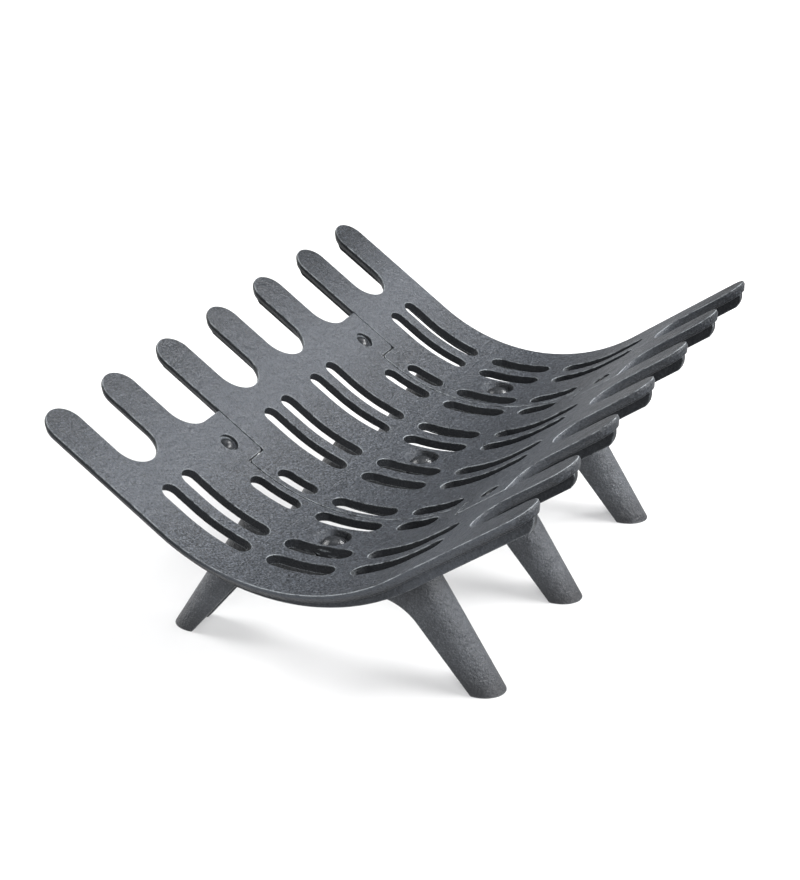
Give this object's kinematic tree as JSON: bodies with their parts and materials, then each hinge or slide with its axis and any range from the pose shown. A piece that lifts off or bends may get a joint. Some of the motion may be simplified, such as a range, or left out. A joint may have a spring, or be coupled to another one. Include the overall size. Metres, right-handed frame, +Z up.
{
  "type": "log grate",
  "caption": "Cradle log grate of slotted cast plates with upturned fingers, seamed by tabs and screws, each plate bolted to an arched pair of legs.",
  "frame": {"origin": "middle of the grate's footprint at floor height", "axes": "+X to the right along the row of fingers, +Y to the back, +Z up"},
  "size_m": [0.44, 0.3362, 0.1741],
  "materials": {
    "painted_casting": "satin dark grey heat-proof paint over a fine sand-cast grain",
    "leg_casting": "satin dark grey heat-proof paint over a coarser sand-cast grain",
    "painted_bolt": "satin dark grey heat-proof paint",
    "plain_steel": "dull blackened steel"
  },
  "bodies": {
    "root": {"left_grate_plate": "painted_casting", "centre_grate_plate": "painted_casting", "right_grate_plate": "painted_casting", "left_leg_pair": "leg_casting", "centre_leg_pair": "leg_casting", "right_leg_pair": "leg_casting", "left_leg_bolt": "painted_bolt", "centre_leg_bolt": "painted_bolt", "right_leg_bolt": "painted_bolt", "left_leg_washer": "plain_steel", "centre_leg_washer": "plain_steel", "right_leg_washer": "plain_steel", "left_leg_nut": "plain_steel", "centre_leg_nut": "plain_steel", "right_leg_nut": "plain_steel", "back_left_screw": "painted_bolt", "back_right_screw": "painted_bolt", "front_left_screw": "painted_bolt", "front_right_screw": "painted_bolt", "back_left_washer": "plain_steel", "back_right_washer": "plain_steel", "front_left_washer": "plain_steel", "front_right_washer": "plain_steel", "back_left_nut": "plain_steel", "back_right_nut": "plain_steel", "front_left_nut": "plain_steel", "front_right_nut": "plain_steel"}
  },
  "joints": []
}
